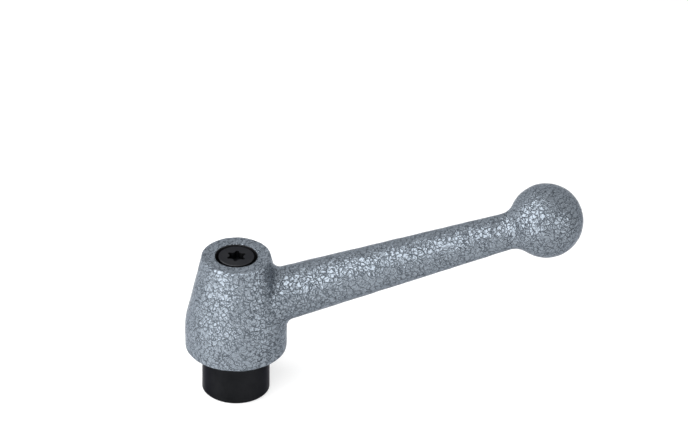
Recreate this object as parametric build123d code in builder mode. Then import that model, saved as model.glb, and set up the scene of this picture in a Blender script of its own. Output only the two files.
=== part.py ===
"""Adjustable clamping lever with a ball end.

Four pieces: a cast lever whose hub has an internal spline, a turned steel insert
with the mating spline and a blind thread for the machine's stud, a shouldered
retaining screw, and the return spring between that screw's head and the hub's web.
Lifting the lever against the spring frees the spline, so that the arm can be
turned to another place and dropped back into mesh.

Units are millimetres. The origin is the middle of the insert's seat face. +Z runs
up the clamping axis, and the arm leaves the hub towards +X.
"""

import os
from math import cos, radians, sin, tan

from build123d import *

# --- Fits and running gaps -------------------------------------------------
guide_gap = 0.06  # radial, insert collar in the hub's guide bore
spline_gap = 0.12  # all round, between the two splines
spline_foot_gap = 0.5  # along the axis, hub's spline above the collar's shoulder
shank_gap = 0.30  # radial, screw shank in the hub's web
head_gap = 0.95  # radial, screw head in the hub's spring well
thread_gap = 0.02  # radial, screw thread in the insert's upper thread

# --- Threaded insert -------------------------------------------------------
collar_d = 20.0
collar_reveal = 14.6  # collar length that shows below the hub
collar_guided = 9.7  # collar length that runs inside the hub
seat_edge_chamfer = 0.4
collar_shoulder_chamfer = 0.5
tooth_count = 24
tooth_tip_d = 18.0
tooth_depth = 0.95
tooth_tip_share = 0.22  # share of the pitch that is flat at a tooth's tip
tooth_root_share = 0.22  # share of the pitch that is flat between two teeth
spline_length = 4.5
spline_lead_in = 0.5
drill_point_angle = 118.0

stud_thread_d = 10.0
stud_thread_pitch = 1.5
stud_thread_depth = 15.0
stud_countersink_d = 10.5
countersink_angle = 120.0

# --- Retaining screw -------------------------------------------------------
screw_thread_d = 5.0
screw_thread_pitch = 0.8
screw_thread_length = 6.0
screw_hole_spare = 0.8  # depth of the insert's upper hole past the screw's end
screw_end_chamfer = 0.5
shank_d = 6.0
head_d = 10.6
head_height = 3.0
head_sink = 0.2  # top of the head below the hub's top face
head_edge_round = 0.2
recess_d = 5.8  # across the lobes
recess_lobe_r = 0.62
recess_hollow_r = 1.15
recess_waist_d = 4.1  # across the hollows
recess_depth = 2.0
recess_turn = 18.5  # of one lobe from the direction of the arm

# --- Return spring ---------------------------------------------------------
wire_d = 1.0
spring_mean_d = 9.4
active_turns = 3
closed_turn_gap = 0.06  # between the wires of a closed end turn and the next
coil_points_per_turn = 12

# --- Lever casting ---------------------------------------------------------
hub_d = 30.2  # where the lower and the upper cone meet, before that corner is rounded
hub_height = 31.2
hub_bottom_d = 30.0
hub_bottom_round = 0.6
hub_widest_height = 8.7  # of that corner above the hub's bottom face
hub_top_d = 20.3
hub_top_round = 0.5
hub_shoulder_round = 24.0
web_thickness = 2.4  # between the spring well and the spline
well_mouth_round = 0.35
guide_mouth_chamfer = 0.4

arm_slope = 15.0  # above the horizontal
arm_height = 28.0  # where the arm's axis crosses the clamping axis
arm_length = 94.8  # along the arm's axis, from the clamping axis to the ball's centre
arm_root_d = 17.0  # of the arm's cone at the clamping axis
arm_tip_d = 10.0  # of the arm's cone at the ball's centre
ball_d = 22.0
neck_fillet = 5.0
arm_fillet = 3.2

# --- Worked out from the above ---------------------------------------------
collar_length = collar_reveal + collar_guided
insert_height = collar_length + spline_length
hub_top = collar_reveal + hub_height
web_top = insert_height + web_thickness
head_top = hub_top - head_sink
head_underside = head_top - head_height
spring_length = head_underside - web_top
closed_pitch = wire_d + closed_turn_gap
active_pitch = (spring_length - 2 * closed_pitch) / active_turns

collar_r = collar_d / 2
tooth_tip_r = tooth_tip_d / 2
tooth_root_r = tooth_tip_r - tooth_depth
stud_bore_r = (stud_thread_d - stud_thread_pitch) / 2
screw_bore_r = (screw_thread_d - screw_thread_pitch) / 2
screw_end_r = screw_bore_r - thread_gap
guide_bore_r = collar_r + guide_gap
well_r = head_d / 2 + head_gap


def cone_height(base_r, point_angle):
    """Height of the cone with this radius at its base and this angle at its point."""
    return base_r / tan(radians(point_angle / 2))


def coil_height(turn):
    """Height of the wire's centre after this many turns from its foot, one closed at each end."""
    active = min(max(turn - 1, 0), active_turns)
    return web_top + closed_pitch * (turn - active) + active_pitch * active


def spline_outline():
    """Closed outline of the insert's spline: straight flanks, arcs at tips and roots."""
    tooth_angle = 360 / tooth_count
    tip_angle = tooth_angle * tooth_tip_share
    root_angle = tooth_angle * tooth_root_share
    with BuildLine() as outline:
        for tooth in range(tooth_count):
            middle = tooth * tooth_angle
            tip_arc = CenterArc((0, 0), tooth_tip_r, middle - tip_angle / 2, tip_angle)
            gap_start = middle + (tooth_angle - root_angle) / 2
            root_arc = CenterArc((0, 0), tooth_root_r, gap_start, root_angle)
            next_tip = Vector(tooth_tip_r, 0).rotate(Axis.Z, middle + tooth_angle - tip_angle / 2)
            Line(tip_arc @ 1, root_arc @ 0)
            Line(root_arc @ 1, next_tip)
    return outline.edges()


# --- Threaded insert: turned collar, splined head, blind holes from both ends ---
with BuildPart() as threaded_insert:
    with BuildSketch(Plane.XY):
        Circle(collar_r)
    extrude(amount=collar_length)
    chamfer(threaded_insert.faces().sort_by(Axis.Z)[0].edges(), seat_edge_chamfer)
    chamfer(threaded_insert.faces().sort_by(Axis.Z)[-1].edges(), collar_shoulder_chamfer)
    with BuildSketch(Plane.XY.offset(collar_length)):
        make_face(spline_outline())
    extrude(amount=spline_length)
    # The teeth are turned down to a lead-in cone at the top.
    with BuildSketch(Plane.XZ):
        with BuildLine():
            Polyline(
                (tooth_tip_r - spline_lead_in, insert_height),
                (tooth_tip_r + spline_lead_in, insert_height - 2 * spline_lead_in),
                (tooth_tip_r + spline_lead_in, insert_height),
                close=True,
            )
        make_face()
    revolve(axis=Axis.Z, mode=Mode.SUBTRACT)
    # Blind hole for the stud, with its countersunk mouth and drill point.
    countersink_r = stud_countersink_d / 2
    countersink_depth = cone_height(countersink_r - stud_bore_r, countersink_angle)
    with BuildSketch(Plane.XZ):
        with BuildLine():
            Polyline(
                (0, 0),
                (countersink_r, 0),
                (stud_bore_r, countersink_depth),
                (stud_bore_r, stud_thread_depth),
                (0, stud_thread_depth + cone_height(stud_bore_r, drill_point_angle)),
                close=True,
            )
        make_face()
    revolve(axis=Axis.Z, mode=Mode.SUBTRACT)
    # Blind hole for the retaining screw, from the top.
    screw_hole_floor = insert_height - screw_thread_length - screw_hole_spare
    with BuildSketch(Plane.XZ):
        with BuildLine():
            Polyline(
                (0, insert_height),
                (screw_bore_r, insert_height),
                (screw_bore_r, screw_hole_floor),
                (0, screw_hole_floor - cone_height(screw_bore_r, drill_point_angle)),
                close=True,
            )
        make_face()
    revolve(axis=Axis.Z, mode=Mode.SUBTRACT)

# --- Retaining screw: flat head with a six-lobe recess, shoulder shank, threaded end ---
with BuildPart() as retaining_screw:
    screw_end = insert_height - screw_thread_length
    with BuildSketch(Plane.XZ):
        with BuildLine():
            Polyline(
                (0, screw_end),
                (screw_end_r - screw_end_chamfer, screw_end),
                (screw_end_r, screw_end + screw_end_chamfer),
                (screw_end_r, insert_height),
                (shank_d / 2, insert_height),
                (shank_d / 2, head_underside),
                (head_d / 2, head_underside),
                (head_d / 2, head_top),
                (0, head_top),
                close=True,
            )
        make_face()
    revolve(axis=Axis.Z)
    fillet(retaining_screw.faces().sort_by(Axis.Z)[-1].edges(), head_edge_round)
    # Six lobes round the recess, and hollows between them that bulge inwards.
    with BuildSketch(Plane.XY.offset(head_top)):
        Circle(recess_d / 2 - recess_lobe_r)
        with PolarLocations(recess_d / 2 - recess_lobe_r, 6, start_angle=recess_turn):
            Circle(recess_lobe_r)
        with PolarLocations(recess_waist_d / 2 + recess_hollow_r, 6, start_angle=recess_turn + 30):
            Circle(recess_hollow_r, mode=Mode.SUBTRACT)
    extrude(amount=-recess_depth, mode=Mode.SUBTRACT)

# --- Return spring: a closed turn, the active turns, a closed turn, both ends ground ---
with BuildPart() as return_spring:
    wire_points = []
    for step in range(coil_points_per_turn * (active_turns + 2) + 1):
        turn = step / coil_points_per_turn
        foot = Vector(spring_mean_d / 2, 0, coil_height(turn))
        wire_points.append(foot.rotate(Axis.Z, 360 * turn))
    with BuildLine() as coil:
        Spline(*wire_points)
    with BuildSketch(Plane(origin=coil.line @ 0, z_dir=coil.line % 0)):
        Circle(wire_d / 2)
    sweep(path=coil.line, is_frenet=True)
    split(bisect_by=Plane.XY.offset(web_top), keep=Keep.TOP)
    split(bisect_by=Plane.XY.offset(head_underside), keep=Keep.BOTTOM)

# --- Lever casting: hub, tapered arm and ball in one piece ---
with BuildPart() as lever_handle:
    # Outside of the hub: it widens a little from its foot, then tapers to the flat top.
    with BuildSketch(Plane.YZ):
        with BuildLine():
            FilletPolyline(
                (0, collar_reveal),
                (hub_bottom_d / 2, collar_reveal),
                (hub_d / 2, collar_reveal + hub_widest_height),
                (hub_top_d / 2, hub_top),
                (0, hub_top),
                radius=[hub_bottom_round, hub_shoulder_round, hub_top_round],
            )
            Line((0, hub_top), (0, collar_reveal))
        make_face()
    revolve(axis=Axis.Z)

    # Arm and ball, turned about the arm's own axis, with a hollow neck between them.
    arm_dir = Vector(cos(radians(arm_slope)), 0, sin(radians(arm_slope)))
    arm_plane = Plane(origin=(0, 0, arm_height), x_dir=arm_dir, z_dir=(0, -1, 0))
    with BuildSketch(arm_plane) as arm_section:
        with Locations((arm_length, 0)):
            Circle(ball_d / 2)
        with BuildLine():
            Polyline(
                (0, arm_root_d / 2),
                (arm_length, arm_tip_d / 2),
                (arm_length, -arm_tip_d / 2),
                (0, -arm_root_d / 2),
                close=True,
            )
        make_face()
        neck_corners = arm_section.vertices().filter_by(lambda corner: 0 < corner.X < arm_length)
        fillet(neck_corners, neck_fillet)
        split(bisect_by=Plane.XZ, keep=Keep.TOP)
    revolve(axis=Axis(arm_plane.origin, arm_dir))
    fillet(lever_handle.edges(Select.NEW), arm_fillet)

    # Guide bore from below, with its chamfered mouth.
    spline_foot = collar_length + spline_foot_gap
    with BuildSketch(Plane.XZ):
        with BuildLine():
            Polyline(
                (0, collar_reveal),
                (guide_bore_r + guide_mouth_chamfer, collar_reveal),
                (guide_bore_r, collar_reveal + guide_mouth_chamfer),
                (guide_bore_r, spline_foot),
                (0, spline_foot),
                close=True,
            )
        make_face()
    revolve(axis=Axis.Z, mode=Mode.SUBTRACT)
    # Internal spline, up to the web that rests on the insert's top face.
    with BuildSketch(Plane.XY.offset(spline_foot)):
        make_face(spline_outline())
        offset(amount=spline_gap, kind=Kind.INTERSECTION)
    extrude(amount=insert_height - spline_foot, mode=Mode.SUBTRACT)
    # Hole through the web for the screw's shank.
    with BuildSketch(Plane.XY.offset(insert_height)):
        Circle(shank_d / 2 + shank_gap)
    extrude(amount=web_thickness, mode=Mode.SUBTRACT)
    # Spring well from the top, with its rounded mouth.
    with BuildSketch(Plane.XZ):
        with BuildLine():
            well_wall_top = (well_r, hub_top - well_mouth_round)
            well_rim = (well_r + well_mouth_round, hub_top)
            Polyline(well_rim, (0, hub_top), (0, web_top), (well_r, web_top), well_wall_top)
            RadiusArc(well_wall_top, well_rim, well_mouth_round)
        make_face()
    revolve(axis=Axis.Z, mode=Mode.SUBTRACT)

os.makedirs("parts", exist_ok=True)
for piece, label in (
    (threaded_insert, "threaded_insert"),
    (retaining_screw, "retaining_screw"),
    (return_spring, "return_spring"),
    (lever_handle, "lever_handle"),
):
    piece.part.label = label
    export_step(piece.part, f"parts/{label}.step")
    print(label, round(piece.part.volume, 2), piece.part.is_valid)
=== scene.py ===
"""Looks of an adjustable clamping lever with a ball end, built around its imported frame.

The casting gets a relief of hammered enamel, the steel insert gets its real inner thread,
and the return spring is wound turn by turn. The retaining screw keeps its own mesh. Every
object is in metres, with its place in its mesh.
"""

import logging
import math
from collections.abc import Iterable
from dataclasses import dataclass, field
from enum import Enum

import bmesh
import bpy
from mathutils import Matrix, Vector

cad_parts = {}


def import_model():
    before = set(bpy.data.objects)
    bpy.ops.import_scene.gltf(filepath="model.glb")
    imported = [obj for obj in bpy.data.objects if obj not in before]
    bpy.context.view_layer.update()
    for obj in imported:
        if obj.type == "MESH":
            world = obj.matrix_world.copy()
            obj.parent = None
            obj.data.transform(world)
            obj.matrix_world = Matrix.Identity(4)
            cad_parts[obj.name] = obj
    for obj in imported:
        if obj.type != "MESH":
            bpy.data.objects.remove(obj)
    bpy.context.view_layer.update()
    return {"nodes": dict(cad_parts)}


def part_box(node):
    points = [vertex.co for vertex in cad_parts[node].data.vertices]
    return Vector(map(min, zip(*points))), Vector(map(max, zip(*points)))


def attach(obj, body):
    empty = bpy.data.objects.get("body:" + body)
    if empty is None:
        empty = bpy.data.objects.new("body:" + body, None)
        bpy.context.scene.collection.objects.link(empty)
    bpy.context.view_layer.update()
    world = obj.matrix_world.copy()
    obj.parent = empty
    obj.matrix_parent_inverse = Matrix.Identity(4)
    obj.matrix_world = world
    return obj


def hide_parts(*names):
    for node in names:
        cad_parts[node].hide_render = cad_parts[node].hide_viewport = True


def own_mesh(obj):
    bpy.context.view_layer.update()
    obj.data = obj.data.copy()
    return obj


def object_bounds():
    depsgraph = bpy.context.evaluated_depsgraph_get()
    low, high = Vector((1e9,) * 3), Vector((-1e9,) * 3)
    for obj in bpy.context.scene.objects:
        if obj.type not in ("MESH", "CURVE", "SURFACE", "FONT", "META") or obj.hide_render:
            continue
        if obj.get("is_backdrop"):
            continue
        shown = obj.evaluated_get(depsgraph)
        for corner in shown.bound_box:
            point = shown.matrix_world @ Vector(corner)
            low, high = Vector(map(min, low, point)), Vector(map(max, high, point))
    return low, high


MM = 0.001
WELD_DISTANCE = 1e-4 * MM
NOISE_MIDDLE = 0.5
NOISE_REACH = 0.25  # how far a noise strays from its middle, near enough
WHITE = (1.0, 1.0, 1.0, 1.0)
MIXED_COLOURS = (6, 7)  # the places of a Mix node's two colours among its inputs
MIX_RESULT = 2  # the place of the mixed colour among its outputs
LOG = logging.getLogger("clamping_lever")
Colour = tuple[float, float, float]
# What a node's input can be given.
Feed = float | tuple | bpy.types.Object | bpy.types.Node | bpy.types.NodeSocket


class Part(Enum):
    """The lever's pieces, by the names of their nodes."""

    CASTING = "lever_handle"
    INSERT = "threaded_insert"
    SCREW = "retaining_screw"
    SPRING = "return_spring"


class FinishName(Enum):
    """The finishes, by the names of their materials."""

    ENAMEL = "hammered_enamel"
    BLACK_OXIDE = "black_oxide_steel"
    BLACK_SCREW = "black_screw_steel"
    SPRING_STEEL = "spring_steel"


class Effect(Enum):
    """The effects that several finishes share, by the names of their shader groups."""

    TURNED_GRAIN = "turned grain"
    SOFT_MOTTLE = "soft mottle"


# --- Small helpers for node trees and meshes ---------------------------------


def add_node(
    tree: bpy.types.NodeTree, kind: str, inputs: dict[str | int, Feed] | None = None, **settings: object
) -> bpy.types.Node:
    """Adds a node, sets it up and joins what feeds it.

    Args:
        tree: The tree that gets the node.
        kind: The node's type.
        inputs: What each input gets, by its name or number: a value, a socket or a node.
        settings: The node's own settings.

    Returns:
        The new node.
    """
    node = tree.nodes.new(kind)
    for name, value in settings.items():
        setattr(node, name, value)
    for key, value in (inputs or {}).items():
        if isinstance(value, bpy.types.Node):
            value = value.outputs[0]
        if isinstance(value, bpy.types.NodeSocket):
            tree.links.new(value, node.inputs[key])
        else:
            node.inputs[key].default_value = value
    return node


def maths(tree: bpy.types.NodeTree, operation: str, *values: Feed) -> bpy.types.Node:
    """Adds a Math node.

    Args:
        tree: The tree that gets the node.
        operation: What it works out, such as "ADD".
        values: Its inputs in order, each a number, a socket or a node.

    Returns:
        The new node.
    """
    return add_node(tree, "ShaderNodeMath", dict(enumerate(values)), operation=operation)


def vector_maths(tree: bpy.types.NodeTree, operation: str, *values: Feed) -> bpy.types.Node:
    """Adds a Vector Math node, as maths does a Math node."""
    return add_node(tree, "ShaderNodeVectorMath", dict(enumerate(values)), operation=operation)


def ramp(tree: bpy.types.NodeTree, value: Feed, low: float, high: float) -> bpy.types.Node:
    """Adds a Map Range node that turns low to high smoothly into 0 to 1."""
    inputs = {"Value": value, "From Min": low, "From Max": high}
    return add_node(tree, "ShaderNodeMapRange", inputs, interpolation_type="SMOOTHSTEP")


def span(tree: bpy.types.NodeTree, value: Feed, low: Feed, high: Feed) -> bpy.types.Node:
    """Adds a Map Range node that turns 0 to 1 evenly into low to high."""
    return add_node(tree, "ShaderNodeMapRange", {"Value": value, "To Min": low, "To Max": high})


def blend(tree: bpy.types.NodeTree, share: Feed, low: Feed, high: Feed) -> bpy.types.NodeSocket:
    """Mixes two colours.

    Args:
        tree: The tree that gets the node.
        share: How much of the second colour shows, from 0 to 1.
        low: The first colour, as a colour or a socket.
        high: The second colour, as a colour or a socket.

    Returns:
        The socket with the mixed colour.
    """
    inputs = {0: share}
    for key, colour in zip(MIXED_COLOURS, (low, high)):
        inputs[key] = (*colour, 1.0) if isinstance(colour, tuple) else colour
    return add_node(tree, "ShaderNodeMix", inputs, data_type="RGBA").outputs[MIX_RESULT]


def axis_distance(tree: bpy.types.NodeTree, axes: bpy.types.Node) -> bpy.types.NodeSocket:
    """Adds the distance from the clamping axis.

    Args:
        tree: A shader or geometry tree.
        axes: The Separate XYZ node that gives the place.

    Returns:
        The socket with the distance.
    """
    flat = add_node(tree, "ShaderNodeCombineXYZ", {"X": axes.outputs["X"], "Y": axes.outputs["Y"]})
    return vector_maths(tree, "LENGTH", flat).outputs["Value"]


@dataclass(frozen=True)
class Noise:
    """How fine a noise is: the number of its layers, and each one's strength beside the last."""

    detail: float
    roughness: float

    def add(self, tree: bpy.types.NodeTree, place: Feed, scale: Feed) -> bpy.types.Node:
        """Adds the noise's node.

        Args:
            tree: A shader or geometry tree.
            place: What gives the place.
            scale: How many patches it has to the metre.

        Returns:
            The Noise Texture node.
        """
        inputs = {"Vector": place, "Scale": scale, "Detail": self.detail, "Roughness": self.roughness}
        return add_node(tree, "ShaderNodeTexNoise", inputs)


def merged_copy(node: bpy.types.Object, name: str) -> bpy.types.Object:
    """Copies a node's mesh and merges its loose triangles.

    Args:
        node: The object of the CAD node, which is left as it is.
        name: The new object's name.

    Returns:
        The new object, linked to the scene, with no material.
    """
    shell = bmesh.new()
    shell.from_mesh(node.data)
    bmesh.ops.remove_doubles(shell, verts=shell.verts, dist=WELD_DISTANCE)
    mesh = bpy.data.meshes.new(name)
    shell.to_mesh(mesh)
    shell.free()
    piece = bpy.data.objects.new(name, mesh)
    bpy.context.scene.collection.objects.link(piece)
    return piece


def settle(piece: bpy.types.Object) -> None:
    """Turns what a piece's modifiers make into its plain mesh, and removes them.

    Args:
        piece: The object with the modifiers.
    """
    bpy.context.view_layer.update()
    evaluated = piece.evaluated_get(bpy.context.evaluated_depsgraph_get())
    mesh = bpy.data.meshes.new_from_object(evaluated)
    piece.modifiers.clear()
    old = piece.data
    piece.data = mesh
    bpy.data.meshes.remove(old)
    mesh.name = piece.name


def add_tree(piece: bpy.types.Object, tree: bpy.types.NodeTree, values: dict[str, object]) -> None:
    """Puts a Geometry Nodes tree on a piece.

    Args:
        piece: The object that gets the modifier.
        tree: The tree.
        values: What its named inputs get.
    """
    modifier = piece.modifiers.new(tree.name, "NODES")
    modifier.node_group = tree
    for socket in tree.interface.items_tree:
        if socket.in_out == "INPUT" and socket.name in values:
            modifier[socket.identifier] = values[socket.name]


def new_geometry_tree(name: str, numbers: tuple[str, ...], material: str) -> bpy.types.NodeTree:
    """Makes an empty Geometry Nodes tree with named inputs.

    Args:
        name: The tree's name.
        numbers: The names of its number inputs.
        material: The name of its material input.

    Returns:
        The tree, with its input and output nodes.
    """
    tree = bpy.data.node_groups.new(name, "GeometryNodeTree")
    tree.interface.new_socket("Geometry", in_out="INPUT", socket_type="NodeSocketGeometry")
    for label in numbers:
        tree.interface.new_socket(label, in_out="INPUT", socket_type="NodeSocketFloat")
    tree.interface.new_socket(material, in_out="INPUT", socket_type="NodeSocketMaterial")
    tree.interface.new_socket("Geometry", in_out="OUTPUT", socket_type="NodeSocketGeometry")
    tree.nodes.new("NodeGroupInput")
    tree.nodes.new("NodeGroupOutput")
    return tree


def finish_tree(tree: bpy.types.NodeTree, shape: bpy.types.Node, material: str) -> None:
    """Ends a Geometry Nodes tree: makes its shape real and gives it its material.

    Args:
        tree: The tree, from new_geometry_tree.
        shape: The node that gives the finished shape.
        material: The name of the tree's material input.
    """
    given, result = tree.nodes[0], tree.nodes[1]
    real = add_node(tree, "GeometryNodeRealizeInstances", {"Geometry": shape})
    dressed = {"Geometry": real, "Material": given.outputs[material]}
    coated = add_node(tree, "GeometryNodeSetMaterial", dressed)
    tree.links.new(coated.outputs[0], result.inputs[0])


# --- Shader groups that several finishes share --------------------------------


def new_shader_group(effect: Effect, size: str, output: str) -> bpy.types.NodeTree:
    """Makes an empty shader group with one number in and one out.

    Args:
        effect: What the group is for.
        size: Its input's name.
        output: Its output's name.

    Returns:
        The group, with its input and output nodes.
    """
    group = bpy.data.node_groups.new(effect.value, "ShaderNodeTree")
    group.interface.new_socket(size, in_out="INPUT", socket_type="NodeSocketFloat")
    group.interface.new_socket(output, in_out="OUTPUT", socket_type="NodeSocketFloat")
    group.nodes.new("NodeGroupInput")
    group.nodes.new("NodeGroupOutput")
    return group


@dataclass(frozen=True)
class TurnedGrain:
    """The fine rings that a lathe leaves round the clamping axis."""

    noise: Noise = Noise(detail=3.0, roughness=0.65)

    def build(self) -> None:
        """Builds the group, which puts out the rings' height, from 0 to 1."""
        group = new_shader_group(Effect.TURNED_GRAIN, "Rings Per Metre", "Height")
        sizes, result = group.nodes
        place = add_node(group, "ShaderNodeTexCoord").outputs["Object"]
        axes = add_node(group, "ShaderNodeSeparateXYZ", {"Vector": place})
        radius = axis_distance(group, axes)
        ring = add_node(group, "ShaderNodeCombineXYZ", {"X": radius, "Z": axes.outputs["Z"]})
        rings = self.noise.add(group, ring, sizes.outputs["Rings Per Metre"])
        group.links.new(rings.outputs["Fac"], result.inputs["Height"])


@dataclass(frozen=True)
class SoftMottle:
    """The broad, soft unevenness that a handled surface has."""

    noise: Noise = Noise(detail=4.0, roughness=0.6)
    levels: tuple[float, float] = (0.3, 0.7)

    def build(self) -> None:
        """Builds the group, which puts out a mask from 0 to 1."""
        group = new_shader_group(Effect.SOFT_MOTTLE, "Patches Per Metre", "Mask")
        sizes, result = group.nodes
        place = add_node(group, "ShaderNodeTexCoord").outputs["Object"]
        patches = self.noise.add(group, place, sizes.outputs["Patches Per Metre"])
        mask = ramp(group, patches.outputs["Fac"], *self.levels)
        group.links.new(mask.outputs[0], result.inputs["Mask"])


# --- Finishes -------------------------------------------------------------------


@dataclass(frozen=True)
class MachinedZones:
    """Where the casting is machined after painting: its guide bore, and its spring well, which is coloured
    near black as painted shade.
    """

    bore_radius: float = 10.46 * MM
    well_radius: float = 6.32 * MM
    web_height: float = 30.0 * MM

    def masks(self, tree: bpy.types.NodeTree, place: Feed) -> tuple[bpy.types.Node, bpy.types.Node]:
        """Adds the masks of the bore and of the well.

        Args:
            tree: A shader or geometry tree.
            place: The socket that gives the place.

        Returns:
            The nodes that give 1 in the bore and 1 in the well, and 0 elsewhere.
        """
        axes = add_node(tree, "ShaderNodeSeparateXYZ", {0: place})
        radius = axis_distance(tree, axes)
        above = maths(tree, "GREATER_THAN", axes.outputs["Z"], self.web_height)
        below = maths(tree, "SUBTRACT", 1.0, above)
        bore = maths(tree, "MULTIPLY", maths(tree, "LESS_THAN", radius, self.bore_radius), below)
        well = maths(tree, "MULTIPLY", maths(tree, "LESS_THAN", radius, self.well_radius), above)
        return bore, well


@dataclass(frozen=True)
class HammeredPattern:
    """Sizes of hammered enamel, shared by its relief and its colour.

    Flat-topped cells meet in curly creases that fade out here and there, and finer creases,
    the worms, wander across them. Broad dents lie under them all.
    """

    cell: float = 1.55 * MM
    crease_width: float = 0.10
    worm: float = 1.30 * MM
    worm_noise: Noise = Noise(detail=1.0, roughness=0.4)
    worm_width: float = 0.032
    worm_depth: float = 0.80
    lip_width: float = 1.4
    lip_height: float = 0.45
    curl: float = 0.38 * MM
    curl_size: float = 1.05 * MM
    curl_noise: Noise = Noise(detail=1.5, roughness=0.6)
    fading_size: float = 1.3 * MM
    fading_noise: Noise = Noise(detail=1.0, roughness=0.5)
    fading: tuple[float, float] = (0.24, 0.48)
    dent_size: float = 5.0 * MM
    dent_noise: Noise = Noise(detail=2.0, roughness=0.55)

    def centred(self, tree: bpy.types.NodeTree, colour: Feed) -> bpy.types.Node:
        """Turns a noise's colour into a vector that is 0 on average."""
        return vector_maths(tree, "SUBTRACT", colour, (NOISE_MIDDLE,) * 3)

    def curled(self, tree: bpy.types.NodeTree, place: Feed) -> bpy.types.Node:
        """Bends a place, so that the cells aren't regular and their creases curl.

        Args:
            tree: A shader or geometry tree.
            place: The socket that gives the place.

        Returns:
            The node that gives the bent place.
        """
        noise = self.curl_noise.add(tree, place, 1.0 / self.curl_size)
        bend = {0: self.centred(tree, noise.outputs["Color"]), "Scale": self.curl / NOISE_REACH}
        offset = add_node(tree, "ShaderNodeVectorMath", bend, operation="SCALE")
        return vector_maths(tree, "ADD", place, offset)

    def groove(
        self, tree: bpy.types.NodeTree, away: Feed, width: float
    ) -> tuple[bpy.types.Node, bpy.types.Node]:
        """Adds a narrow groove with raised lips.

        Args:
            tree: A shader or geometry tree.
            away: The socket that gives the distance from the groove's middle.
            width: The distance at which the groove ends.

        Returns:
            The nodes that give 1 along the groove's middle and 1 along its lips, and 0 elsewhere.
        """
        rise = ramp(tree, away, 0.0, width)
        fall = ramp(tree, away, width, width * (1.0 + self.lip_width))
        lip = maths(tree, "MULTIPLY", rise, maths(tree, "SUBTRACT", 1.0, fall))
        return maths(tree, "SUBTRACT", 1.0, rise), lip

    def creases(self, tree: bpy.types.NodeTree, place: Feed) -> tuple[bpy.types.Node, bpy.types.Node]:
        """Adds the creases round the cells, with finer ones that wander across them.

        Args:
            tree: A shader or geometry tree.
            place: The socket that gives the place.

        Returns:
            The node that gives 1 along a crease's middle, less where it fades, and 0 on a cell,
            and the node that gives the relief, from -1 in a crease to a little over 0 on its lips.
        """
        cells = {"Vector": self.curled(tree, place), "Scale": 1.0 / self.cell}
        edge = add_node(tree, "ShaderNodeTexVoronoi", cells, feature="DISTANCE_TO_EDGE").outputs["Distance"]
        round_cell, cell_lip = self.groove(tree, edge, self.crease_width)
        worms = self.worm_noise.add(tree, place, 1.0 / self.worm).outputs["Fac"]
        level = maths(tree, "SUBTRACT", worms, NOISE_MIDDLE)
        across, worm_lip = self.groove(tree, maths(tree, "ABSOLUTE", level), self.worm_width)
        middle = maths(tree, "MAXIMUM", round_cell, maths(tree, "MULTIPLY", across, self.worm_depth))
        lip = maths(tree, "MAXIMUM", cell_lip, maths(tree, "MULTIPLY", worm_lip, self.worm_depth))
        fading = self.fading_noise.add(tree, place, 1.0 / self.fading_size).outputs["Fac"]
        depth = ramp(tree, fading, *self.fading)
        raised = maths(tree, "MULTIPLY", lip, self.lip_height)
        relief = maths(tree, "MULTIPLY", maths(tree, "SUBTRACT", raised, middle), depth)
        return maths(tree, "MULTIPLY", middle, depth), relief

    def lean(self, tree: bpy.types.NodeTree, place: Feed) -> bpy.types.NodeSocket:
        """Adds the lean of each cell's top, in a direction of its own.

        Args:
            tree: A shader or geometry tree.
            place: The socket that gives the place.

        Returns:
            The socket that gives the height of a plane through the cell's middle, which rises
            by up to half a metre to the metre along each axis.
        """
        bent = self.curled(tree, place)
        cells = {"Vector": bent, "Scale": 1.0 / self.cell}
        cell = add_node(tree, "ShaderNodeTexVoronoi", cells).outputs
        slope = self.centred(tree, cell["Color"])
        away = vector_maths(tree, "SUBTRACT", bent, cell["Position"])
        return vector_maths(tree, "DOT_PRODUCT", slope, away).outputs["Value"]

    def dents(self, tree: bpy.types.NodeTree, place: Feed) -> bpy.types.Node:
        """Adds the broad dents under the cells, as a value from -0.5 to 0.5."""
        noise = self.dent_noise.add(tree, place, 1.0 / self.dent_size).outputs["Fac"]
        return maths(tree, "SUBTRACT", noise, NOISE_MIDDLE)


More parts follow.
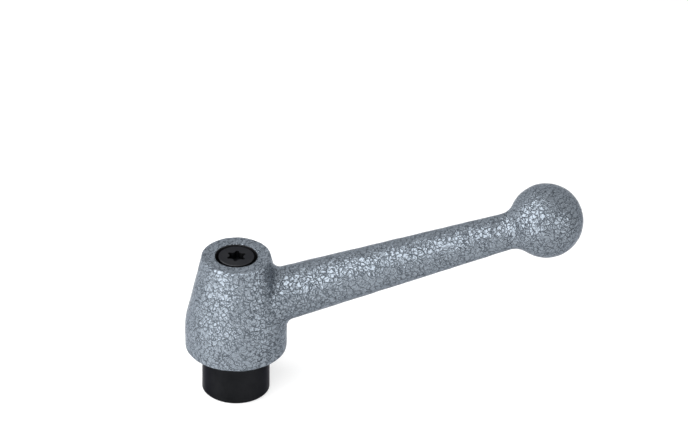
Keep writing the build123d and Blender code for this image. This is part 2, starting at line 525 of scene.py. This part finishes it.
@dataclass(frozen=True)
class Enamel:
    """Hammered metallic enamel: bright flake on the cells, with painted shade darkening the creases."""

    pattern: HammeredPattern = HammeredPattern()
    zones: MachinedZones = MachinedZones()
    crease_shade_colour: Colour = (0.048, 0.057, 0.069)
    cell_colour: Colour = (0.178, 0.203, 0.232)
    flake_colour: Colour = (0.212, 0.240, 0.272)
    edge_colour: Colour = (0.60, 0.64, 0.70)
    zinc_colour: Colour = (0.420, 0.425, 0.430)
    well_shade_colour: Colour = (0.010, 0.010, 0.011)
    metallic: float = 0.82
    roughness: tuple[float, float] = (0.19, 0.30)
    machined_roughness: float = 0.42
    crease_depth: float = 0.115 * MM
    cell_lean: float = 0.15
    peel_depth: float = 0.012 * MM
    peel_size: float = 0.45 * MM
    peel_noise: Noise = Noise(detail=2.0, roughness=0.6)
    flake_levels: tuple[float, float] = (0.35, 0.68)

    def dress(self, tree: bpy.types.NodeTree, shader: bpy.types.Node) -> None:
        """Joins the enamel's nodes to a Principled BSDF.

        Args:
            tree: The material's tree.
            shader: Its Principled BSDF.
        """
        place = add_node(tree, "ShaderNodeTexCoord").outputs["Object"]
        bore, well = self.zones.masks(tree, place)
        machined = maths(tree, "ADD", bore, well)
        crease, relief = self.pattern.creases(tree, place)
        peel = self.peel_noise.add(tree, place, 1.0 / self.peel_size).outputs["Fac"]
        flakes = ramp(tree, peel, *self.flake_levels)
        colour = blend(tree, flakes, self.cell_colour, self.flake_colour)
        # painted shade: the creases are coloured darker
        colour = blend(tree, crease, colour, self.crease_shade_colour)
        colour = blend(tree, bore, colour, self.zinc_colour)
        # painted shade: the spring well is coloured near black, and it is made non-metallic below
        colour = blend(tree, well, colour, self.well_shade_colour)
        tree.links.new(colour, shader.inputs["Base Color"])
        gloss = span(tree, crease, *self.roughness)
        dull = span(tree, machined, gloss, self.machined_roughness)
        tree.links.new(dull.outputs[0], shader.inputs["Roughness"])
        shader.inputs["Specular Tint"].default_value = (*self.edge_colour, 1.0)
        metal = span(tree, well, self.metallic, 0.0)
        tree.links.new(metal.outputs[0], shader.inputs["Metallic"])
        sunk = maths(tree, "MULTIPLY", relief, self.crease_depth)
        height = maths(tree, "MULTIPLY_ADD", peel, self.peel_depth, sunk)
        tops = maths(tree, "MULTIPLY", self.pattern.lean(tree, place), maths(tree, "SUBTRACT", 1.0, crease))
        height = maths(tree, "MULTIPLY_ADD", tops, self.cell_lean, height)
        painted = maths(tree, "SUBTRACT", 1.0, machined)
        in_metres = {"Height": maths(tree, "MULTIPLY", height, painted), "Strength": 1.0, "Distance": 1.0}
        tree.links.new(add_node(tree, "ShaderNodeBump", in_metres).outputs[0], shader.inputs["Normal"])


@dataclass(frozen=True)
class TurnedMetal:
    """Metal with the fine rings of a lathe and a soft mottle in its gloss."""

    colour: Colour
    worn_colour: Colour
    roughness: tuple[float, float]
    edge_colour: Colour = (1.0, 1.0, 1.0)
    patches_per_metre: float = 120.0
    rings_per_metre: float = 9000.0
    ring_depth: float = 0.004 * MM
    ring_strength: float = 0.6

    def dress(self, tree: bpy.types.NodeTree, shader: bpy.types.Node) -> None:
        """Joins the metal's nodes to a Principled BSDF.

        Args:
            tree: The material's tree.
            shader: Its Principled BSDF.
        """
        groups = bpy.data.node_groups
        patches = {"Patches Per Metre": self.patches_per_metre}
        mottle = add_node(tree, "ShaderNodeGroup", patches, node_tree=groups[Effect.SOFT_MOTTLE.value])
        rings = {"Rings Per Metre": self.rings_per_metre}
        grain = add_node(tree, "ShaderNodeGroup", rings, node_tree=groups[Effect.TURNED_GRAIN.value])
        colour = blend(tree, mottle, self.colour, self.worn_colour)
        tree.links.new(colour, shader.inputs["Base Color"])
        gloss = span(tree, mottle, *self.roughness)
        tree.links.new(gloss.outputs[0], shader.inputs["Roughness"])
        bump = {"Height": grain, "Strength": self.ring_strength, "Distance": self.ring_depth}
        tree.links.new(add_node(tree, "ShaderNodeBump", bump).outputs[0], shader.inputs["Normal"])
        shader.inputs["Metallic"].default_value = 1.0
        shader.inputs["Specular Tint"].default_value = (*self.edge_colour, 1.0)


@dataclass
class FinishShop:
    """Makes each finish's material once, and hands it out."""

    enamel: Enamel = Enamel()
    black_oxide: TurnedMetal = TurnedMetal(
        colour=(0.008, 0.0085, 0.0095),
        worn_colour=(0.013, 0.0135, 0.015),
        roughness=(0.28, 0.40),
        edge_colour=(0.53, 0.53, 0.55),
    )
    black_screw: TurnedMetal = TurnedMetal(
        colour=(0.026, 0.027, 0.031),
        worn_colour=(0.037, 0.038, 0.040),
        roughness=(0.34, 0.44),
        edge_colour=(0.45, 0.45, 0.47),
    )
    spring_steel: TurnedMetal = TurnedMetal(
        colour=(0.32, 0.32, 0.33), worn_colour=(0.40, 0.40, 0.41), roughness=(0.28, 0.36)
    )
    made: dict[FinishName, bpy.types.Material] = field(default_factory=dict)

    def open(self) -> None:
        """Builds the shared groups and every material."""
        TurnedGrain().build()
        SoftMottle().build()
        recipes = {
            FinishName.ENAMEL: self.enamel,
            FinishName.BLACK_OXIDE: self.black_oxide,
            FinishName.BLACK_SCREW: self.black_screw,
            FinishName.SPRING_STEEL: self.spring_steel,
        }
        for name, recipe in recipes.items():
            material = bpy.data.materials.new(name.value)
            material.use_nodes = True
            tree = material.node_tree
            recipe.dress(tree, tree.nodes["Principled BSDF"])
            self.made[name] = material
            LOG.info("finish %s", name.value)


# --- Pieces ---------------------------------------------------------------------


@dataclass
class Casting:
    """The cast lever: hub, arm and ball under hammered enamel, with machined holes."""

    shop: FinishShop
    node: bpy.types.Object
    voxel: float = 0.37 * MM
    crease_relief: float = 0.015 * MM
    dent_relief: float = 0.32 * MM

    def relief_tree(self) -> bpy.types.NodeTree:
        """Builds the tree that gives the enamel its dents and creases.

        Returns:
            A Geometry Nodes tree with named inputs.
        """
        tree = new_geometry_tree("hammered relief", ("Crease Relief", "Dent Relief"), "Enamel")
        sizes = tree.nodes[0].outputs
        enamel = self.shop.enamel
        place = add_node(tree, "GeometryNodeInputPosition").outputs[0]
        bore, well = enamel.zones.masks(tree, place)
        painted = maths(tree, "SUBTRACT", 1.0, maths(tree, "ADD", bore, well))
        creased = maths(tree, "MULTIPLY", enamel.pattern.creases(tree, place)[1], sizes["Crease Relief"])
        dented = maths(tree, "MULTIPLY", enamel.pattern.dents(tree, place), sizes["Dent Relief"])
        rise = maths(tree, "MULTIPLY", maths(tree, "ADD", dented, creased), painted)
        normal = add_node(tree, "GeometryNodeInputNormal").outputs[0]
        offset = add_node(tree, "ShaderNodeVectorMath", {0: normal, "Scale": rise}, operation="SCALE")
        moved = add_node(tree, "GeometryNodeSetPosition", {"Geometry": sizes["Geometry"], "Offset": offset})
        smooth = add_node(tree, "GeometryNodeSetShadeSmooth", {"Geometry": moved})
        finish_tree(tree, smooth, "Enamel")
        return tree

    def keep_inside(self, piece: bpy.types.Object) -> None:
        """Presses what the relief has pushed out of the casting's own box back onto it.

        Args:
            piece: The casting.
        """
        low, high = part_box(Part.CASTING.value)
        for vertex in piece.data.vertices:
            vertex.co = [min(max(x, least), most) for x, least, most in zip(vertex.co, low, high)]

    def build(self) -> bpy.types.Object:
        """Makes the enamelled casting.

        Returns:
            The piece, which stands for the casting's node.
        """
        former = merged_copy(self.node, "casting_former")
        piece = merged_copy(self.node, "enamelled_casting")
        even = piece.modifiers.new("even faces", "REMESH")
        even.mode = "VOXEL"
        even.voxel_size = self.voxel
        fit = piece.modifiers.new("back to form", "SHRINKWRAP")
        fit.target = former
        settle(piece)
        values = {
            "Crease Relief": self.crease_relief,
            "Dent Relief": self.dent_relief,
            "Enamel": self.shop.made[FinishName.ENAMEL],
        }
        add_tree(piece, self.relief_tree(), values)
        settle(piece)
        self.keep_inside(piece)
        bpy.data.objects.remove(former)
        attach(piece, "lever")
        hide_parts(Part.CASTING.value)
        return piece


@dataclass
class Insert:
    """The turned insert, with the stud's thread cut into its lower hole."""

    shop: FinishShop
    node: bpy.types.Object
    pitch: float = 1.5 * MM
    bore_radius: float = 4.25 * MM
    thread_radius: float = 5.0 * MM
    thread_depth: float = 14.0 * MM
    flank_angle: float = 60.0
    root_flat_share: float = 1 / 8
    overlap: float = 0.06 * MM
    steps_per_turn: int = 64
    sharp_angle: float = 20.0

    def groove_profile(self) -> bpy.types.Object:
        """Makes the groove's section: sloping flanks and a narrow flat at the thread's root.

        Returns:
            A closed poly curve whose -X points away from the axis.
        """
        root = self.pitch * self.root_flat_share / 2
        reach = self.thread_radius - self.bore_radius + self.overlap
        mouth = root + reach * math.tan(math.radians(self.flank_angle / 2))
        corners = ((-reach, root), (-reach, -root), (0.0, -mouth), (0.0, mouth))
        curve = bpy.data.curves.new("groove_section", "CURVE")
        line = curve.splines.new("POLY")
        line.points.add(len(corners) - 1)
        line.use_cyclic_u = True
        for point, (x, y) in zip(line.points, corners):
            point.co = (x, y, 0.0, 1.0)
        section = bpy.data.objects.new("groove_section", curve)
        bpy.context.scene.collection.objects.link(section)
        return section

    def thread_tree(self, section: bpy.types.Object) -> bpy.types.NodeTree:
        """Builds the tree that winds the groove's section down the hole and cuts it away.

        Args:
            section: The groove's section.

        Returns:
            A Geometry Nodes tree with named inputs.
        """
        tree = new_geometry_tree("stud thread", ("Turns", "Path Radius", "Length", "Start Height"), "Steel")
        sizes = tree.nodes[0].outputs
        winding = {
            "Resolution": self.steps_per_turn,
            "Rotations": sizes["Turns"],
            "Start Radius": sizes["Path Radius"],
            "End Radius": sizes["Path Radius"],
            "Height": sizes["Length"],
        }
        path = add_node(tree, "GeometryNodeCurveSpiral", winding)
        start = add_node(tree, "ShaderNodeCombineXYZ", {"Z": sizes["Start Height"]})
        placed = add_node(tree, "GeometryNodeTransform", {"Geometry": path, "Translation": start})
        upright = add_node(tree, "GeometryNodeSetCurveNormal", {"Curve": placed}, mode="Z_UP")
        profile = add_node(tree, "GeometryNodeObjectInfo", {"Object": section}).outputs["Geometry"]
        wound = {"Curve": upright, "Profile Curve": profile, "Fill Caps": True}
        groove = add_node(tree, "GeometryNodeCurveToMesh", wound)
        meshes = {"Mesh 1": sizes["Geometry"], "Mesh 2": groove}
        cut = add_node(tree, "GeometryNodeMeshBoolean", meshes, operation="DIFFERENCE", solver="EXACT")
        finish_tree(tree, cut, "Steel")
        return tree

    def build(self) -> bpy.types.Object:
        """Makes the threaded insert.

        Returns:
            The piece, which stands for the insert's node.
        """
        piece = merged_copy(self.node, "tapped_insert")
        section = self.groove_profile()
        run_out = self.pitch
        length = self.thread_depth + run_out
        values = {
            "Turns": length / self.pitch,
            "Path Radius": self.bore_radius - self.overlap,
            "Length": length,
            "Start Height": -run_out,
            "Steel": self.shop.made[FinishName.BLACK_OXIDE],
        }
        add_tree(piece, self.thread_tree(section), values)
        settle(piece)
        bpy.data.objects.remove(section)
        piece.data.materials.pop(index=0)  # the cut leaves an empty slot before the steel's
        piece.data.set_sharp_from_angle(angle=math.radians(self.sharp_angle))
        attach(piece, "clamp_insert")
        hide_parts(Part.INSERT.value)
        return piece


@dataclass
class Spring:
    """The return spring, wound with a closed and ground turn at each end."""

    shop: FinishShop
    wire: float = 1.0 * MM
    mean_radius: float = 4.7 * MM
    active_turns: float = 3.0
    closed_turns: float = 1.0
    closed_gap: float = 0.06 * MM
    lift: float = 5.0 * MM
    steps_per_turn: int = 48
    wire_sides: int = 16
    sharp_angle: float = 40.0

    def coil_tree(self) -> bpy.types.NodeTree:
        """Builds the tree that winds the wire and grinds its ends flat.

        Returns:
            A Geometry Nodes tree with named inputs.
        """
        numbers = (
            "Active Turns",
            "Closed Turns",
            "Closed Pitch",
            "Active Pitch",
            "Mean Radius",
            "Wire Radius",
            "Bottom",
            "Top",
        )
        tree = new_geometry_tree("spring coil", numbers, "Steel")
        sizes = tree.nodes[0].outputs
        turns = maths(tree, "MULTIPLY_ADD", sizes["Closed Turns"], 2.0, sizes["Active Turns"])
        count = maths(tree, "MULTIPLY_ADD", turns, float(self.steps_per_turn), 1.0)
        line = add_node(tree, "GeometryNodeCurvePrimitiveLine")
        points = add_node(tree, "GeometryNodeResampleCurve", {"Curve": line, "Count": count})
        along = add_node(tree, "GeometryNodeSplineParameter").outputs["Factor"]
        turn = maths(tree, "MULTIPLY", along, turns)
        active = maths(tree, "SUBTRACT", turn, sizes["Closed Turns"])
        active = maths(tree, "MINIMUM", maths(tree, "MAXIMUM", active, 0.0), sizes["Active Turns"])
        closed = maths(tree, "MULTIPLY", maths(tree, "SUBTRACT", turn, active), sizes["Closed Pitch"])
        rise = maths(tree, "MULTIPLY_ADD", active, sizes["Active Pitch"], closed)
        height = maths(tree, "ADD", rise, sizes["Bottom"])
        angle = maths(tree, "MULTIPLY", turn, 2 * math.pi)
        x = maths(tree, "MULTIPLY", maths(tree, "COSINE", angle), sizes["Mean Radius"])
        y = maths(tree, "MULTIPLY", maths(tree, "SINE", angle), sizes["Mean Radius"])
        spot = add_node(tree, "ShaderNodeCombineXYZ", {"X": x, "Y": y, "Z": height})
        wound = add_node(tree, "GeometryNodeSetPosition", {"Geometry": points, "Position": spot})
        section = {"Resolution": self.wire_sides, "Radius": sizes["Wire Radius"]}
        ring = add_node(tree, "GeometryNodeCurvePrimitiveCircle", section)
        drawn = {"Curve": wound, "Profile Curve": ring, "Fill Caps": True}
        wire = add_node(tree, "GeometryNodeCurveToMesh", drawn)
        place = add_node(tree, "GeometryNodeInputPosition").outputs[0]
        axes = add_node(tree, "ShaderNodeSeparateXYZ", {0: place})
        topped = maths(tree, "MINIMUM", axes.outputs["Z"], sizes["Top"])
        ground = maths(tree, "MAXIMUM", topped, sizes["Bottom"])
        levelled = {"X": axes.outputs["X"], "Y": axes.outputs["Y"], "Z": ground}
        flat = add_node(tree, "ShaderNodeCombineXYZ", levelled)
        cut = add_node(tree, "GeometryNodeSetPosition", {"Geometry": wire, "Position": flat})
        finish_tree(tree, cut, "Steel")
        return tree

    def build(self) -> bpy.types.Object:
        """Makes the spring.

        Returns:
            The piece, which stands for the spring's node.
        """
        low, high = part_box(Part.SPRING.value)
        bottom, top = low.z, high.z
        closed_pitch = self.wire + self.closed_gap
        closed_height = 2 * self.closed_turns * closed_pitch
        piece = bpy.data.objects.new("wound_spring", bpy.data.meshes.new("wound_spring"))
        bpy.context.scene.collection.objects.link(piece)
        values = {
            "Active Turns": self.active_turns,
            "Closed Turns": self.closed_turns,
            "Closed Pitch": closed_pitch,
            "Active Pitch": (top - bottom - closed_height) / self.active_turns,
            "Mean Radius": self.mean_radius,
            "Wire Radius": self.wire / 2,
            "Bottom": bottom,
            "Top": top,
            "Steel": self.shop.made[FinishName.SPRING_STEEL],
        }
        add_tree(piece, self.coil_tree(), values)
        settle(piece)
        piece.data.set_sharp_from_angle(angle=math.radians(self.sharp_angle))
        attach(piece, "spring")
        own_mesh(piece)
        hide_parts(Part.SPRING.value)
        return piece


@dataclass
class Screw:
    """The retaining screw, which keeps its node's mesh."""

    shop: FinishShop
    node: bpy.types.Object

    def build(self) -> bpy.types.Object:
        """Gives the screw its black finish.

        Returns:
            The piece, which is the screw's own node.
        """
        self.node.data.materials.clear()
        self.node.data.materials.append(self.shop.made[FinishName.BLACK_SCREW])
        return self.node


# --- Studio ---------------------------------------------------------------------


def heading(compass: float, height: float) -> Vector:
    """Gives the direction at a compass angle and a height above the horizontal, in degrees."""
    turn, tilt = math.radians(compass), math.radians(height)
    return Vector((math.cos(tilt) * math.cos(turn), math.cos(tilt) * math.sin(turn), math.sin(tilt)))


@dataclass(frozen=True)
class Softbox:
    """A square soft light that faces the lever."""

    name: str
    compass: float
    height: float
    radiance: float
    side: float
    distance: float
    roll: float = 0.0

    def hang(self, target: Vector) -> None:
        """Puts the light up.

        Args:
            target: The point that it faces.
        """
        lamp = bpy.data.lights.new(self.name, "AREA")
        lamp.energy = self.radiance * math.pi * self.side**2
        lamp.size = self.side
        away = heading(self.compass, self.height)
        facing = away.to_track_quat("Z", "Y").to_matrix().to_4x4()
        light = bpy.data.objects.new(self.name, lamp)
        spin = Matrix.Rotation(math.radians(self.roll), 4, "Z")
        light.matrix_world = Matrix.Translation(target + self.distance * away) @ facing @ spin
        light.visible_camera = False
        bpy.context.scene.collection.objects.link(light)


@dataclass
class Studio:
    """Pale floor, soft light and the camera."""

    softboxes: tuple[Softbox, ...] = (
        Softbox("left_softbox", compass=-146.0, height=37.5, radiance=3.2, side=0.52, distance=0.26),
        Softbox(
            "right_softbox", compass=-46.6, height=14.0, radiance=2.1, side=0.36, distance=0.46, roll=45.0
        ),
    )
    ambient: float = 0.30
    ceiling: float = 0.80
    front: float = 0.45
    wall_fade: tuple[float, float] = (0.60, 1.00)
    floor_radius: float = 0.42
    floor_sides: int = 128
    floor_gap: float = 0.05 * MM
    floor_colour: Colour = (0.56, 0.56, 0.56)
    floor_roughness: float = 0.28
    floor_lift: float = 0.555
    azimuth: float = -6.56
    elevation: float = 32.4
    roll: float = 0.66
    distance: float = 2.5
    aim: tuple[float, float, float] = (0.034346, 0.023029, 0.042233)
    view_width: float = 0.20403

    def front_side(self) -> Vector:
        """Gives the direction that the camera looks from, which is -Y at azimuth 0."""
        return heading(self.azimuth - 90.0, self.elevation)

    def seen_directly(self, tree: bpy.types.NodeTree) -> bpy.types.Node:
        """Adds the mask of what the camera sees, itself or in gloss or glass.

        Args:
            tree: The tree of the world or of a material.

        Returns:
            The node that gives 1 where it is seen so, and 0 where it only gives light.
        """
        path = add_node(tree, "ShaderNodeLightPath").outputs
        direct = maths(tree, "MAXIMUM", path["Is Camera Ray"], path["Is Glossy Ray"])
        return maths(tree, "MAXIMUM", direct, path["Is Transmission Ray"])

    def light(self) -> None:
        """Hangs the softboxes and sets the world: white walls, darker overhead and in front."""
        low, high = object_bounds()
        middle = (Vector(low) + Vector(high)) / 2
        for box in self.softboxes:
            box.hang(middle)
        world = bpy.data.worlds.new("studio")
        bpy.context.scene.world = world
        world.use_nodes = True
        tree = world.node_tree
        direction = add_node(tree, "ShaderNodeTexCoord").outputs["Generated"]
        height = add_node(tree, "ShaderNodeSeparateXYZ", {0: direction}).outputs["Z"]
        overhead = span(tree, ramp(tree, height, *self.wall_fade), 1.0, self.ceiling)
        frontal = vector_maths(tree, "DOT_PRODUCT", direction, tuple(self.front_side())).outputs["Value"]
        before = span(tree, ramp(tree, frontal, *self.wall_fade), 1.0, self.front)
        walls = maths(tree, "MULTIPLY", overhead, before)
        strength = span(tree, self.seen_directly(tree), self.ambient, walls)
        back = tree.nodes["Background"]
        back.inputs["Color"].default_value = WHITE
        tree.links.new(strength.outputs[0], back.inputs["Strength"])

    def floor(self) -> None:
        """Lays the floor, which keeps the lever's shadow and is white where it is seen."""
        disc = bmesh.new()
        under = Matrix.Translation((0.0, 0.0, -self.floor_gap))
        bmesh.ops.create_circle(
            disc, cap_ends=True, segments=self.floor_sides, radius=self.floor_radius, matrix=under
        )
        mesh = bpy.data.meshes.new("floor")
        disc.to_mesh(mesh)
        disc.free()
        slab = bpy.data.objects.new("floor", mesh)
        bpy.context.scene.collection.objects.link(slab)
        material = bpy.data.materials.new("pale_floor")
        material.use_nodes = True
        tree = material.node_tree
        shader = tree.nodes["Principled BSDF"]
        shader.inputs["Base Color"].default_value = (*self.floor_colour, 1.0)
        shader.inputs["Roughness"].default_value = self.floor_roughness
        shader.inputs["Emission Color"].default_value = WHITE
        lift = maths(tree, "MULTIPLY", self.seen_directly(tree), self.floor_lift)
        tree.links.new(lift.outputs[0], shader.inputs["Emission Strength"])
        mesh.materials.append(material)
        slab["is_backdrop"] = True

    def camera(self) -> None:
        """Sets up the camera: far off with a long lens, looking down at the lever."""
        data = bpy.data.cameras.new("camera")
        data.lens = data.sensor_width * self.distance / self.view_width
        turn, tilt, roll = (math.radians(a) for a in (self.azimuth, self.elevation, self.roll))
        facing = Matrix.Rotation(turn, 4, "Z") @ Matrix.Rotation(math.pi / 2 - tilt, 4, "X")
        view = Matrix.Translation(self.aim) @ facing @ Matrix.Rotation(roll, 4, "Z")
        camera = bpy.data.objects.new("camera", data)
        camera.matrix_world = view @ Matrix.Translation((0, 0, self.distance))
        bpy.context.scene.collection.objects.link(camera)
        bpy.context.scene.camera = camera


def main() -> None:
    """Builds the lever's looks round its frame, piece by piece."""
    logging.basicConfig(level=logging.INFO, format="%(name)s: %(message)s")
    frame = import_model()
    bpy.context.scene.view_settings.view_transform = "Standard"
    studio = Studio()
    studio.camera()
    shop = FinishShop()
    shop.open()
    nodes = frame["nodes"]
    builders = (
        Casting(shop, nodes[Part.CASTING.value]),
        Insert(shop, nodes[Part.INSERT.value]),
        Screw(shop, nodes[Part.SCREW.value]),
        Spring(shop),
    )
    for builder in builders:
        piece = builder.build()
        LOG.info("%s: %d faces", piece.name, len(piece.data.polygons))
    studio.light()
    studio.floor()


if __name__ == "__main__":
    main()
